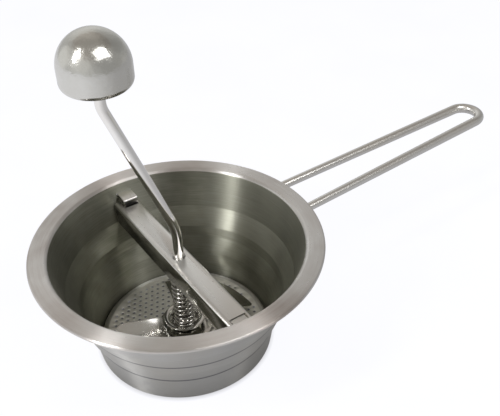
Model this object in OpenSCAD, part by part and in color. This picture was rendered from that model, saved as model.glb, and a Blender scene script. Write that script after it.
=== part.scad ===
// Rotary potato ricer (food mill): a stepped steel bowl on one long wire
// handle, a perforated disc in its foot, and a cranked blade that a spring
// presses on the disc from a bridge across the bowl.
// Millimetres, real size, +Z up. The floor is z = 0 and the shaft is the Z
// axis. The handle points along +X and the bridge runs along Y.

/* [Bowl] */
// Outside diameter of the flat rim
rim_diameter = 220; // [212:1:230]
// Height of the rim above the floor
bowl_height = 95; // [92:0.5:99]
// Thickness of the steel of the bowl
bowl_sheet = 1.1; // [0.9:0.1:1.3]
// Rounding of the two ledges pressed into the wall
ledge_rounding = 1.6; // [1.4:0.1:4]

/* [Disc] */
// Outside diameter of the perforated disc
disc_diameter = 135.2; // [133:0.2:135.4]
// Diameter of one hole
hole_diameter = 2.4; // [1.8:0.1:3.4]
// Distance between the centres of neighbouring holes
hole_pitch = 5.5; // [5:0.1:8]

/* [Handle] */
// Distance from the shaft to the far end of the loop
handle_reach = 325; // [260:5:360]
// Diameter of the wire where it leaves the bowl
handle_wire = 6.8; // [6:0.1:7]
// Diameter of the wire at the end of the loop
handle_end_wire = 8.6; // [7:0.1:9]
// Upward slope of the handle in degrees
handle_slope = 2.4; // [0:0.2:6]

/* [Bridge] */
// Width of the bridge
bridge_width = 19.6; // [19:0.2:21]
// Height of the sides of the bridge
bridge_depth = 17.6; // [14:0.2:18]
// Thickness of the steel of the bridge
bridge_sheet = 1.2; // [1:0.1:1.4]

/* [Crank] */
// Diameter of the crank rod
rod_diameter = 7.8; // [7.6:0.1:8]
// Distance between the shaft and the knob's own axis
throw = 41; // [36:1:50]
// Direction in which the crank leans at rest, in degrees
crank_direction = 146; // [0:1:360]

/* [Spring] */
// Outside diameter of the spring
spring_diameter = 17; // [16:0.2:17.6]
// Thickness of the spring wire
spring_wire = 1.9; // [1.5:0.1:2.2]
// Number of turns of the spring
spring_turns = 15.5; // [12:0.5:17]

/* [Blade] */
// Radius that the tips of the blade sweep
blade_radius = 56; // [48:1:57]
// Direction of the raised edge of the first wing at rest, in degrees
blade_direction = 158; // [0:1:360]

/* [Knob] */
// Diameter of the knob
knob_diameter = 48.8; // [47:0.2:53]

/* [Show] */
// Which piece to draw

/* [Hidden] */
$fn = 96;
// A small overlap that keeps joined solids joined
eps = 0.01;
// How far a straight wire runs into a bend, which is a hair thicker
wire_lap = 0.3;
wire_skin = 0.02;
// Steps in each rounded bend of a sheet
bend_steps = 6;

// Bowl: the outside of the sheet, from the foot ledge up to the rim
rim_radius = rim_diameter / 2;
bead_radius = 1.5;
wall_top = bowl_height - bowl_sheet;
ledge_radius = 62;
foot_radius = 69.6;
lower_step = [[73.2, 24], [79, 37.5]];
upper_step = [[80.6, 46], [88.7, 62]];
lip_radius = 96.7;
foot_bend = 2;
lip_bend = 2.6;
bowl_path = [[ledge_radius, 0], [foot_radius, 0], lower_step[0], lower_step[1],
             upper_step[0], upper_step[1], [lip_radius, wall_top],
             [rim_radius - bead_radius, wall_top]];
bowl_bends = [foot_bend, ledge_rounding, ledge_rounding, ledge_rounding,
              ledge_rounding, lip_bend];

// Disc: a shallow cap that stands on the foot ledge
disc_radius = disc_diameter / 2;
disc_sheet = 0.8;
disc_foot = bowl_sheet + 0.05;
disc_top = 5.2;
disc_edge_bend = 2.6;
disc_plate_radius = disc_radius - disc_edge_bend - 2;
perforated_radius = 60;
blank_radius = 9;
rows = ceil(perforated_radius / hole_pitch) + 1;

// Handle: two tapering wires and the loop that joins them
handle_start = 90.5;
handle_start_half_gap = 18.6;
handle_start_height = 87.7;
handle_end_half_gap = 13.4;
handle_length = handle_reach - handle_start - handle_end_half_gap
    - handle_end_wire / 2;
handle_diagonal = norm([handle_length, handle_start_half_gap]);
handle_taper = atan(handle_start_half_gap / handle_length)
    - asin(handle_end_half_gap / handle_diagonal);
handle_side_length = sqrt(pow(handle_diagonal, 2)
    - pow(handle_end_half_gap, 2));

// Bridge: an upturned channel with a tongue at each end
bridge_top = 79.6;
bridge_half = bridge_width / 2;
bridge_bend = 2.4;
end_a = 90;
end_b = -85.3;
end_a_low = 85.4;
end_b_low = -80.8;
corner_rounding = 2;
tongue_a = [-4.5, 7.6];
tongue_a_rise = 6;
tongue_a_root = 81.6;
tongue_a_tip = 95.3;
tongue_b = [-5.2, 6.2];
tongue_b_drop = bridge_sheet;
tongue_b_root = -78.4;
tongue_b_tip = -93.7;
slit_a = [-5.2, 8.2];
slit_b = [-6.3, 6.8];
slot_gap = 0.4;
tongue_corner = 1.5;
// how far the cuts run past the ends, and how deep they go
past_end = 10;
slit_low = bridge_top - 4;
slit_height = 5;

// Bush in the bridge
rod_radius = rod_diameter / 2;
running_gap = 0.05;
fixed_gap = 0.02;
bush_radius = 5.2;
bush_low = 72.4;
bush_flange = 6.4;
bush_flange_height = 1;
bush_chamfer = 0.7;

// Shaft stack, from the disc upwards
blade_sheet = 1.2;
foot_low = disc_top + 0.35;
blade_seat = 7;
washer_low = blade_seat + blade_sheet;
cup_low = 9.3;
cup_sheet = 1.2;
thrust_washer_radius = 8.5;
flat_across = 5.8;
nut_radius = 6.5;
thread_radius = 2.9;

// Spring cup: a small dish with a turned-out edge
cup_path = [[rod_radius + running_gap, cup_low], [10.2, cup_low], [13.6, 16.2],
            [16.6, 16.2]];
cup_bends = [2.6, 1.6];

// Spring
spring_low = cup_low + cup_sheet;
spring_washer_sheet = 1;
spring_washer_radius = bridge_half - bridge_sheet - 0.2;
bush_flange_low = bridge_top - bridge_sheet - bush_flange_height;
spring_high = bush_flange_low - spring_washer_sheet;
spring_radius = (spring_diameter - spring_wire) / 2;
spring_sides = 10;
spring_parts = 24;

// Blade wings: sheet rolled to a radius, flat where it meets the disc
wing_edge = -2;
wing_flat = 33;
wing_roll = 62;
wing_root = 18;
wing_corner = 7;
wing_sweep = 100;
wing_room = 30;
wing_past = 8;
wing_steps = 18;
blade_plate_radius = 22;

// Crank rod: upright, leaning, upright again under the knob
rod_foot = foot_low + 0.05;
lean_low = 106.4;
lean_high = 208.2;
bend_low = 52;
bend_high = 20;
lean = atan2(throw, lean_high - lean_low);
spindle_radius = 3.5;
spindle_low = 224.2;
rod_end = 252.4;
groove_radius = 2.9;
groove_low = 248.9;
groove_height = 1.1;

// Knob
knob_radius = knob_diameter / 2;
knob_low = 224;
knob_skirt = 14.6;
knob_sheet = 1;
knob_edge_bend = 5.8;
knob_edge_radius = 18;
// flats, too small to see, at the very top of the knob, outside and inside
crown_outer = 0.012;
crown_inner = 0.02;
crown_width = 1.2;
knob_washer_sheet = 0.9;
knob_washer_radius = 6.8;
bush_foot = spindle_low + knob_washer_sheet + 0.1;
knob_bush_radius = 6.5;
knob_bush_flange = 9;
knob_bush_flange_height = 1;
knob_base_low = knob_low + knob_sheet + 0.1;
knob_base_radius = 19.2;
knob_base_sheet = 1.2;
knob_bush_high = 248.6;

steel = [0.72, 0.72, 0.71];
polished = [0.82, 0.82, 0.82];
dark_steel = [0.5, 0.5, 0.5];
nylon = [0.15, 0.15, 0.16];

// Unit vector from a to b
function unit(a, b) = (b - a) / norm(b - a);
// The same vector turned a quarter turn to the left
function left(v) = [-v.y, v.x];
// Corner i of an open path after the path is moved d to its left
function moved(path, i, d) =
    let (last = len(path) - 1,
         before = unit(path[max(i - 1, 0)], path[max(i, 1)]),
         after = unit(path[min(i, last - 1)], path[min(i + 1, last)]),
         m = left(before) + left(after))
    path[i] + 2 * d * m / (m * m);
// An open path moved d to its left
function moved_path(path, d) = [for (i = [0:len(path) - 1]) moved(path, i, d)];
// Points of the arc of radius r that rounds the corner p between a and b
function arc(a, p, b, r) =
    let (u = unit(a, p),
         v = unit(p, b),
         side = u.x * v.y - u.y * v.x > 0 ? 1 : -1,
         turn = acos(min(1, max(-1, u * v))),
         centre = p - u * r * tan(turn / 2) + left(u) * side * r,
         start = atan2(-side * left(u).y, -side * left(u).x))
    [for (k = [0:bend_steps]) let (t = start + side * turn * k / bend_steps)
        centre + r * [cos(t), sin(t)]];
// +1 where the path turns left at corner i, -1 where it turns right
function turn_side(path, i) =
    let (u = unit(path[i - 1], path[i]), v = unit(path[i], path[i + 1]))
    u.x * v.y - u.y * v.x > 0 ? 1 : -1;
// An open path with its inner corners rounded; d is how far it was moved
function bent(path, bends, d) =
    let (last = len(path) - 1)
    concat([path[0]],
           [for (i = [1:last - 1])
               each arc(path[i - 1], path[i], path[i + 1],
                        bends[i - 1] - turn_side(path, i) * d)],
           [path[last]]);
function reversed(list) = [for (i = [len(list) - 1:-1:0]) list[i]];
// A closed outline with every corner rounded to the radius in rounds
function rounded(path, rounds) =
    let (n = len(path))
    [for (i = [0:n - 1])
        each rounds[i] > 0
            ? arc(path[(i + n - 1) % n], path[i], path[(i + 1) % n], rounds[i])
            : [path[i]]];

// Cross-section of a bent sheet that lies to the left of its path
module sheet(path, bends, thickness) {
    polygon(concat(bent(path, bends, 0),
                   reversed(bent(moved_path(path, thickness), bends,
                                 thickness))));
}

// A flat ring
module ring(inner, outer, low, height) {
    translate([0, 0, low])
        linear_extrude(height)
            difference() {
                circle(outer);
                circle(inner);
            }
}

// Slot through the wall for a tongue that spans xs and has its top at top;
// side is +1 at end A and -1 at end B
module tongue_slot(xs, top, side) {
    inside = upper_step[0].x;
    outside = lip_radius + 5;
    translate([xs[0] - slot_gap, side > 0 ? inside : -outside,
               top - bridge_sheet - slot_gap])
        cube([xs[1] - xs[0] + 2 * slot_gap, outside - inside,
              bridge_sheet + 2 * slot_gap]);
}

// One-piece pressed bowl with a flat rim, a rolled edge and two ledges
module bowl() {
    color(steel)
    difference() {
        rotate_extrude() {
            sheet(bowl_path, bowl_bends, bowl_sheet);
            translate([rim_radius - bead_radius, bowl_height - bead_radius])
                circle(bead_radius);
        }
        tongue_slot(tongue_a, bridge_top + tongue_a_rise, 1);
        tongue_slot(tongue_b, bridge_top - tongue_b_drop, -1);
    }
}

// Holes of the disc, in staggered rows
module disc_holes() {
    for (row = [-rows:rows], column = [-rows:rows]) {
        x = (column + (row % 2 == 0 ? 0 : 0.5)) * hole_pitch;
        y = row * hole_pitch * sqrt(3) / 2;
        if (norm([x, y]) < perforated_radius && norm([x, y]) > blank_radius)
            translate([x, y])
                circle(hole_diameter / 2);
    }
}

// Perforated disc, a shallow cap with a turned-down edge
module disc() {
    low = disc_top - disc_sheet;
    color(steel) {
        translate([0, 0, low])
            linear_extrude(disc_sheet)
                difference() {
                    circle(disc_plate_radius + eps);
                    disc_holes();
                }
        rotate_extrude()
            sheet([[disc_radius, disc_foot], [disc_radius, disc_top],
                   [disc_plate_radius, disc_top]],
                  [disc_edge_bend], disc_sheet);
    }
}

// One tapering side of the handle, in the plane of the handle
module handle_side(side) {
    translate([0, side * handle_start_half_gap, 0])
        rotate([0, 90, -side * handle_taper])
            cylinder(h = handle_side_length + wire_lap, r1 = handle_wire / 2,
                     r2 = handle_end_wire / 2 - wire_skin);
}

// Handle bent from one wire and welded to the wall under the rim
module handle_loop() {
    color(polished)
    difference() {
        translate([handle_start, 0, handle_start_height])
            rotate([0, -handle_slope, 0]) {
                handle_side(1);
                handle_side(-1);
                translate([handle_length, 0, 0])
                    rotate([0, 0, handle_taper - 90])
                        rotate_extrude(angle = 180 - 2 * handle_taper)
                            translate([handle_end_half_gap, 0])
                                circle(handle_end_wire / 2);
            }
        translate([0, 0, upper_step[1].y])
            cylinder(h = wall_top - upper_step[1].y, r1 = upper_step[1].x,
                     r2 = lip_radius);
    }
}

// Side view of the bridge: both ends slope in with the wall of the bowl
module bridge_outline() {
    low = bridge_top - bridge_depth;
    polygon(rounded([[end_b, bridge_top + 1], [end_b_low, low], [end_a_low, low],
                     [end_a, bridge_top + 1]],
                    [0, corner_rounding, corner_rounding, 0]));
}

// A tongue seen from above, with rounded outer corners
module tongue(xs, root, tip, top) {
    way = tip > root ? 1 : -1;
    inner = root - way * bridge_sheet;
    translate([0, 0, top - bridge_sheet])
        linear_extrude(bridge_sheet)
            polygon(rounded([[xs[0], inner], [xs[1], inner], [xs[1], tip],
                             [xs[0], tip]],
                            [0, 0, tongue_corner, tongue_corner]));
}

// The upright piece between the top of the bridge and a stepped tongue
module riser(xs, root, low, high) {
    translate([xs[0], root > 0 ? root - bridge_sheet : root, low])
        cube([xs[1] - xs[0], bridge_sheet, high - low]);
}

// Channel-shaped bridge with a raised and a lowered tongue
module bridge_bar() {
    side_low = bridge_top - bridge_depth;
    color(steel) {
        difference() {
            intersection() {
                translate([0, end_a + past_end, 0])
                    rotate([90, 0, 0])
                        linear_extrude(end_a - end_b + 2 * past_end)
                            sheet([[bridge_half, side_low - 1],
                                   [bridge_half, bridge_top],
                                   [-bridge_half, bridge_top],
                                   [-bridge_half, side_low - 1]],
                                  [bridge_bend, bridge_bend], bridge_sheet);
                translate([-bridge_half - 1, 0, 0])
                    rotate([90, 0, 90])
                        linear_extrude(bridge_width + 2)
                            bridge_outline();
            }
            translate([slit_a[0], tongue_a_root, slit_low])
                cube([slit_a[1] - slit_a[0], end_a - tongue_a_root + past_end,
                      slit_height]);
            translate([slit_b[0], end_b - past_end, slit_low])
                cube([slit_b[1] - slit_b[0], tongue_b_root - end_b + past_end,
                      slit_height]);
            translate([0, 0, slit_low])
                cylinder(h = slit_height, r = bush_radius);
        }
        riser(tongue_a, tongue_a_root, bridge_top - bridge_sheet,
              bridge_top + tongue_a_rise);
        tongue(tongue_a, tongue_a_root, tongue_a_tip,
               bridge_top + tongue_a_rise);
        riser(tongue_b, tongue_b_root, bridge_top - tongue_b_drop - bridge_sheet,
              bridge_top);
        tongue(tongue_b, tongue_b_root, tongue_b_tip,
               bridge_top - tongue_b_drop);
    }
}

// Flanged bush pressed into the bridge from below, in which the rod turns
module bar_bush() {
    color(dark_steel)
    difference() {
        union() {
            translate([0, 0, bush_low])
                cylinder(h = bridge_top - bush_low, r = bush_radius);
            translate([0, 0, bush_flange_low])
                cylinder(h = bush_flange_height, r = bush_flange);
        }
        translate([0, 0, bush_low - 1])
            cylinder(h = bridge_top - bush_low + 2,
                     r = rod_radius + running_gap);
        translate([0, 0, bridge_top - bush_chamfer])
            cylinder(h = bush_chamfer + eps, r1 = rod_radius + running_gap,
                     r2 = bush_radius - 0.4);
    }
}

// Washer between the top of the spring and the bridge
module spring_washer() {
    color(steel)
        ring(bush_radius + running_gap, spring_washer_radius, spring_high,
             spring_washer_sheet);
}

// Round wire coiled from the cup to the washer, with closed ends
module spring() {
    parts = round(spring_turns * spring_parts);
    closed = 1.2;
    low = spring_low + spring_wire / 2;
    high = spring_high - spring_wire / 2;
    climb = high - low - 2 * closed * spring_wire;
    function height(turns) =
        turns < closed ? low + turns * spring_wire
        : turns > spring_turns - closed
            ? high - (spring_turns - turns) * spring_wire
            : low + closed * spring_wire
                + climb * (turns - closed) / (spring_turns - 2 * closed);
    points = [for (i = [0:parts], k = [0:spring_sides - 1])
        let (turns = i / spring_parts,
             a = 360 * turns,
             b = 360 * k / spring_sides,
             r = spring_radius + spring_wire / 2 * cos(b))
        [r * cos(a), r * sin(a), height(turns) + spring_wire / 2 * sin(b)]];
    skin = [for (i = [0:parts - 1], k = [0:spring_sides - 1])
        let (n = (k + 1) % spring_sides)
        [i * spring_sides + k, i * spring_sides + n,
         (i + 1) * spring_sides + n, (i + 1) * spring_sides + k]];
    start = [for (k = [0:spring_sides - 1]) spring_sides - 1 - k];
    end = [for (k = [0:spring_sides - 1]) parts * spring_sides + k];
    color(polished)
        polyhedron(points, concat([start], skin, [end]), convexity = 20);
}

// Dish that carries the foot of the spring and slides on the rod
module spring_cup() {
    color(polished)
        rotate_extrude()
            sheet(cup_path, cup_bends, cup_sheet);
}

// Washer on which the cup rests above the blade
module thrust_washer() {
    color(dark_steel)
        ring(rod_radius + fixed_gap, thrust_washer_radius, washer_low,
             cup_low - washer_low - 0.1);
}

// A straight piece of the rod from height low to height high; it runs a
// little way into the bends at its ends
module rod_piece(low, high, lap_low, lap_high) {
    translate([0, 0, low - lap_low])
        cylinder(h = high - low + lap_low + lap_high, r = rod_radius);
}

// A bend of the rod: it starts upright at the origin and leans towards +X
module rod_bend(radius) {
    translate([radius, 0, 0])
        rotate([90, 0, 0])
            rotate([0, 0, 180 - lean])
                rotate_extrude(angle = lean)
                    translate([radius, 0])
                        circle(rod_radius + wire_skin);
}

// Crank rod, bent so that the knob runs on a circle around the shaft
module crank_rod() {
    cut_low = bend_low * tan(lean / 2);
    cut_high = bend_high * tan(lean / 2);
    slope = norm([throw, lean_high - lean_low]) - cut_low - cut_high;
    color(polished)
    rotate([0, 0, crank_direction]) {
        // flats that carry the blade, and the end that carries the nut
        intersection() {
            translate([0, 0, blade_seat])
                cylinder(h = blade_sheet + eps, r = rod_radius);
            translate([-rod_radius, -flat_across / 2, blade_seat])
                cube([2 * rod_radius, flat_across, blade_sheet + eps]);
        }
        translate([0, 0, rod_foot])
            cylinder(h = blade_seat - rod_foot + eps, r = thread_radius);
        rod_piece(washer_low, lean_low - cut_low, 0, wire_lap);
        translate([0, 0, lean_low - cut_low])
            rod_bend(bend_low);
        translate([0, 0, lean_low])
            rotate([0, lean, 0])
                rod_piece(cut_low, cut_low + slope, wire_lap, wire_lap);
        translate([throw, 0, lean_high + cut_high])
            rotate([180, 0, 180])
                rod_bend(bend_high);
        translate([throw, 0, 0]) {
            rod_piece(lean_high + cut_high, spindle_low, wire_lap, 0);
            difference() {
                translate([0, 0, spindle_low - eps])
                    cylinder(h = rod_end - spindle_low, r = spindle_radius);
                ring(groove_radius, spindle_radius + 1, groove_low,
                     groove_height);
            }
        }
    }
}

// Outline of one wing seen from above: the raised edge runs along +X, the
// trailing edge points away from the shaft at the angle wing_sweep
module wing_outline() {
    past = blade_radius + wing_past;
    intersection() {
        circle(blade_radius);
        polygon(rounded([[0, 0], [wing_root / 2, wing_edge],
                         [blade_radius - 1, wing_edge], [past, wing_flat],
                         [past, past], [past / tan(wing_sweep), past]],
                        [0, 0, wing_corner, 0, 0, 0]));
    }
}

// Height of the rolled sheet's upper or lower face over the line y
function wing_face(y, radius) =
    foot_low + blade_sheet + wing_roll - sqrt(radius * radius - pow(wing_flat - y, 2));

// The sheet seen from the side: rolled up to the raised edge, flat on the disc
module wing_profile() {
    near = wing_edge - 1;
    ys = [for (i = [0:wing_steps]) near + (wing_flat - near) * i / wing_steps];
    polygon(concat([for (y = ys) [y, wing_face(y, wing_roll + blade_sheet)]],
                   [[blade_radius + 1, foot_low],
                    [blade_radius + 1, foot_low + blade_sheet]],
                   reversed([for (y = ys) [y, wing_face(y, wing_roll)]])));
}

// One wing: cut from the sheet along its outline
module wing() {
    difference() {
        intersection() {
            translate([-blade_radius, 0, 0])
                rotate([90, 0, 90])
                    linear_extrude(2 * blade_radius)
                        wing_profile();
            translate([0, 0, foot_low - 2])
                linear_extrude(wing_room)
                    wing_outline();
        }
        translate([0, 0, blade_seat + blade_sheet - eps])
            cylinder(h = wing_room, r = wing_root);
    }
}

// Blade: a flat hub with two wings, on the flats of the rod
module blade() {
    color(polished)
    difference() {
        union() {
            translate([0, 0, blade_seat])
                cylinder(h = blade_sheet, r = blade_plate_radius);
            for (turn = [0, 180])
                rotate([0, 0, blade_direction + turn])
                    wing();
        }
        translate([0, 0, foot_low - 1])
            linear_extrude(blade_seat - foot_low + 1)
                circle(nut_radius + 0.3);
        rotate([0, 0, crank_direction])
            translate([0, 0, blade_seat - 1])
                linear_extrude(blade_sheet + 2)
                    intersection() {
                        circle(rod_radius + fixed_gap);
                        square([4 * rod_radius, flat_across + 2 * fixed_gap],
                               center = true);
                    }
    }
}

// Thin nut under the blade
module foot_nut() {
    color(dark_steel)
        translate([0, 0, foot_low])
            linear_extrude(blade_seat - foot_low - fixed_gap)
                difference() {
                    circle(nut_radius, $fn = 6);
                    circle(thread_radius + fixed_gap);
                }
}

// Places a piece of the knob on the crank's upper end
module at_knob() {
    rotate([0, 0, crank_direction])
        translate([throw, 0, 0])
            children();
}

// Ring in the groove of the rod that keeps the knob on
module knob_clip() {
    color(dark_steel)
        at_knob()
            ring(groove_radius + fixed_gap, knob_bush_radius - 0.6,
                 groove_low + 0.05, groove_height - 0.1);
}

// Washer on the shoulder of the rod, under the knob's bush
module knob_washer() {
    color(dark_steel)
        at_knob()
            ring(spindle_radius + fixed_gap, knob_washer_radius, spindle_low,
                 knob_washer_sheet);
}

// Hollow knob: a short skirt under a half ball, its edge turned in
module knob_shell() {
    wall_low = knob_low + knob_skirt;
    color(polished)
    at_knob()
        rotate_extrude() {
            sheet([[knob_edge_radius, knob_low], [knob_radius, knob_low],
                   [knob_radius, wall_low]],
                  [knob_edge_bend], knob_sheet);
            translate([0, wall_low])
                intersection() {
                    union() {
                        difference() {
                            circle(knob_radius);
                            circle(knob_radius - knob_sheet);
                        }
                        translate([0, knob_radius - knob_sheet - crown_inner])
                            square([crown_width, knob_sheet / 2]);
                    }
                    square([2 * knob_radius, knob_radius - crown_outer]);
                }
        }
}

// Plate that closes the knob, held by the turned-in edge
module knob_base() {
    color(steel)
        at_knob()
            ring(knob_bush_radius, knob_base_radius, knob_base_low,
                 knob_base_sheet);
}

// Plastic bush in the plate, in which the rod's upper end turns
module knob_bush() {
    color(nylon)
        at_knob()
            difference() {
                union() {
                    translate([0, 0, bush_foot])
                        cylinder(h = knob_bush_high - bush_foot,
                                 r = knob_bush_radius);
                    translate([0, 0, knob_base_low + knob_base_sheet])
                        cylinder(h = knob_bush_flange_height,
                                 r = knob_bush_flange);
                }
                translate([0, 0, bush_foot - 1])
                    cylinder(h = knob_bush_high - bush_foot + 2,
                             r = spindle_radius + running_gap);
            }
}

bowl();
disc();
handle_loop();
bridge_bar();
bar_bush();
spring_washer();
spring();
spring_cup();
thrust_washer();
crank_rod();
blade();
foot_nut();
knob_clip();
knob_washer();
knob_shell();
knob_base();
knob_bush();
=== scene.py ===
import math

import bmesh
import bpy
from mathutils import Matrix, Vector
from mathutils.geometry import delaunay_2d_cdt


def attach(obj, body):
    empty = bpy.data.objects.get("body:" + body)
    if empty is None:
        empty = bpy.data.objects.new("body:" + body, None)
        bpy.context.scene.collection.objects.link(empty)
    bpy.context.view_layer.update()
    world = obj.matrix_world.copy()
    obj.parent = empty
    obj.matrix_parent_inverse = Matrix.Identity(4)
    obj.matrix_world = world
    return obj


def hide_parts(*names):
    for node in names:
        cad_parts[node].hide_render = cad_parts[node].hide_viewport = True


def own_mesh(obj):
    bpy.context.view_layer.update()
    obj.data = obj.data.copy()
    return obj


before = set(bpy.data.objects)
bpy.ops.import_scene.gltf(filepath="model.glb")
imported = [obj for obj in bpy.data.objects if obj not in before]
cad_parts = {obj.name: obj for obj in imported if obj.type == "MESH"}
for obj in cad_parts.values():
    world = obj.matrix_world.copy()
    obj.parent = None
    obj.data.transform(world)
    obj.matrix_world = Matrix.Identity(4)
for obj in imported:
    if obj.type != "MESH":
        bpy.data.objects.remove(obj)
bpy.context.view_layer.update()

MM = 0.001
TURN = 2 * math.pi
HAIR = 0.02                         # keeps faces apart that would coincide

# Bowl, in millimetres, as in the CAD part
RIM_RADIUS = 110
BOWL_HEIGHT = 95
BOWL_SHEET = 1.1
BEAD_RADIUS = 1.5
WALL_TOP = BOWL_HEIGHT - BOWL_SHEET
LEDGE_RADIUS = 62
FOOT_RADIUS = 69.6
STEPS = [(73.2, 24), (79, 37.5), (80.6, 46), (88.7, 62)]
LIP_RADIUS = 96.7
FOOT_BEND = 2
LEDGE_BEND = 1.6
LIP_BEND = 2.6

# Disc
DISC_RADIUS = 67.6
DISC_SHEET = 0.8
DISC_TOP = 5.2
DISC_EDGE_BEND = 2.6
DISC_EDGE_LOW = 1.15
DISC_PLATE_RADIUS = 63
PERFORATED_RADIUS = 60
BLANK_RADIUS = 9
HOLE_RADIUS = 1.2
HOLE_PITCH = 5.5
HOLE_EDGE = 0.22

# Handle
HANDLE_START = 90.5
HANDLE_START_HALF_GAP = 18.6
HANDLE_START_HEIGHT = 87.7
HANDLE_END_HALF_GAP = 13.4
HANDLE_REACH = 325
HANDLE_WIRE = 6.8
HANDLE_END_WIRE = 8.6
HANDLE_SLOPE = math.radians(2.4)
WELD_RADIUS = 0.75

# Bridge
BRIDGE_TOP = 79.6
BRIDGE_HALF = 9.8
BRIDGE_DEPTH = 17.6
BRIDGE_SHEET = 1.2
BRIDGE_BEND = 2.4
END_A, END_A_LOW = 90, 85.4
END_B, END_B_LOW = -85.3, -80.8
TONGUE_A = (-4.5, 7.6)
TONGUE_A_RISE = 6
TONGUE_A_ROOT, TONGUE_A_TIP = 81.6, 95.3
TONGUE_B = (-5.2, 6.2)
TONGUE_B_ROOT, TONGUE_B_TIP = -78.4, -93.7
SLIT_A = (-5.2, 8.2)
SLIT_B = (-6.3, 6.8)
SLOT_GAP = 0.4
SLOT_CORNER = 0.6
TONGUE_CORNER = 1.5
TONGUE_CUT = (60, BOWL_HEIGHT)      # heights the tongues' plan is cut between
TONGUE_BEND = 0.5
INSIDE_WALL, PAST_WALL = 80, 104    # a cut between these passes through the wall
BUSH_RADIUS = 5.2
BUSH_LOW = 72.4
BUSH_FLANGE_RADIUS = 6.4
BUSH_FLANGE_LOW = 77.4

# Shaft stack
ROD_RADIUS = 3.9
RUNNING_GAP = 0.05
CUP_LOW = 9.3
CUP_SHEET = 1.2
CUP_FLOOR_RADIUS = 10.2
CUP_RIM_INNER, CUP_RIM_OUTER = 13.6, 16.6
CUP_TOP = 16.2
CUP_BENDS = [2.6, 1.6]
WASHER_SHEET = 1
SPRING_WASHER_RADIUS = 8.4
THRUST_WASHER_RADIUS = 8.5
NUT_RADIUS = 6.5
THREAD_RADIUS = 2.9
BLADE_SEAT = 7
BLADE_SHEET = 1.2
FOOT_LOW = DISC_TOP + 0.35
SPRING_LOW = CUP_LOW + CUP_SHEET
SPRING_HIGH = 76.4
SPRING_WIRE = 1.9
SPRING_RADIUS = 7.55
SPRING_TURNS = 15.5
SPRING_CLOSED_TURNS = 1.2

# Blade
BLADE_RADIUS = 56
BLADE_PLATE_RADIUS = 22
BLADE_BORE = 3.0
BLADE_DIRECTION = math.radians(158)
WING_EDGE = -2
WING_FLAT = 33
WING_ROLL = 62
WING_ROOT = 18
WING_CORNER = 7
WING_SWEEP = math.radians(100)
WING_PAST = BLADE_RADIUS + 8
WING_ROOM = 30

# Crank
CRANK_DIRECTION = math.radians(146)
THROW = 41
LEAN_LOW, LEAN_HIGH = 106.4, 208.2
BEND_LOW, BEND_HIGH = 52, 20
SPINDLE_RADIUS = 3.5
SPINDLE_LOW = 224.2
GROOVE_LOW, GROOVE_HIGH = 248.9, 250
ROD_END = 252.4

# Knob
KNOB_RADIUS = 24.4
KNOB_LOW = 224
KNOB_SKIRT = 14.6
KNOB_SHEET = 1
KNOB_EDGE_BEND = 5.8
KNOB_EDGE_RADIUS = 18
KNOB_BASE_RADIUS = 19.2
KNOB_BASE_LOW, KNOB_BASE_HIGH = 225.1, 226.3
KNOB_BUSH_INNER, KNOB_BUSH_OUTER = 3.55, 6.5
KNOB_BUSH_LOW, KNOB_BUSH_HIGH = 225.2, 248.6
KNOB_BUSH_FLANGE = 9
KNOB_WASHER_RADIUS = 6.8
KNOB_WASHER_SHEET = 0.9
KNOB_CLIP_RADIUS = 5.9
KNOB_CLIP_SHEET = 1


# ---------------------------------------------------------------- outlines

def arc(a, p, b, radius, steps):
    """Points of the arc that rounds the corner p between a and b."""
    a, p, b = Vector(a), Vector(p), Vector(b)
    u, v = (p - a).normalized(), (b - p).normalized()
    side = 1 if u.x * v.y - u.y * v.x > 0 else -1
    turn = u.angle(v)
    centre = p - u * radius * math.tan(turn / 2) + Vector((-u.y, u.x)) * side * radius
    start = math.atan2(-side * u.x, side * u.y)
    return [(centre.x + radius * math.cos(start + side * turn * k / steps),
             centre.y + radius * math.sin(start + side * turn * k / steps))
            for k in range(steps + 1)]


def rounded(path, radii, steps=8):
    """A closed outline with its corners rounded."""
    n = len(path)
    points = []
    for i, radius in enumerate(radii):
        if radius:
            points += arc(path[i - 1], path[i], path[(i + 1) % n], radius, steps)
        else:
            points.append(tuple(path[i]))
    return points


def turns_left(path, i):
    """1 where the path turns left at its corner i, -1 where it turns right."""
    u = Vector(path[i]) - Vector(path[i - 1])
    v = Vector(path[i + 1]) - Vector(path[i])
    return 1 if u.x * v.y - u.y * v.x > 0 else -1


def moved(path, d):
    """An open path moved d to its left."""
    path = [Vector(p) for p in path]
    out = []
    for i, p in enumerate(path):
        before = (path[max(i, 1)] - path[max(i - 1, 0)]).normalized()
        after = (path[min(i + 1, len(path) - 1)] - path[min(i, len(path) - 2)]).normalized()
        m = Vector((-before.y, before.x)) + Vector((-after.y, after.x))
        out.append(p + 2 * d * m / m.dot(m))
    return out


def bent(path, bends, d, steps=8):
    """An open path with its inner corners rounded, on a sheet side moved by d."""
    points = [tuple(path[0])]
    for i, radius in enumerate(bends, 1):
        points += arc(path[i - 1], path[i], path[i + 1],
                      radius - turns_left(path, i) * d, steps)
    return points + [tuple(path[-1])]


def sheet_outline(path, bends, thickness, steps=8):
    """Closed outline of a bent sheet that lies to the left of its path."""
    return bent(path, bends, 0, steps) + bent(moved(path, thickness), bends,
                                              thickness, steps)[::-1]


def softened(outline, radius=0.18, sharpest=50):
    """The outline with each sharp corner taken off by a small round."""
    n = len(outline)
    points = []
    for i, p in enumerate(outline):
        a, p, b = Vector(outline[i - 1]), Vector(p), Vector(outline[(i + 1) % n])
        if (p - a).length < 1e-6 or (b - p).length < 1e-6:
            continue
        if (p - a).angle(b - p) > math.radians(sharpest):
            points += arc(a, p, b, radius, 3)
        else:
            points.append(tuple(p))
    return points


# ------------------------------------------------------------------ meshes

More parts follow.
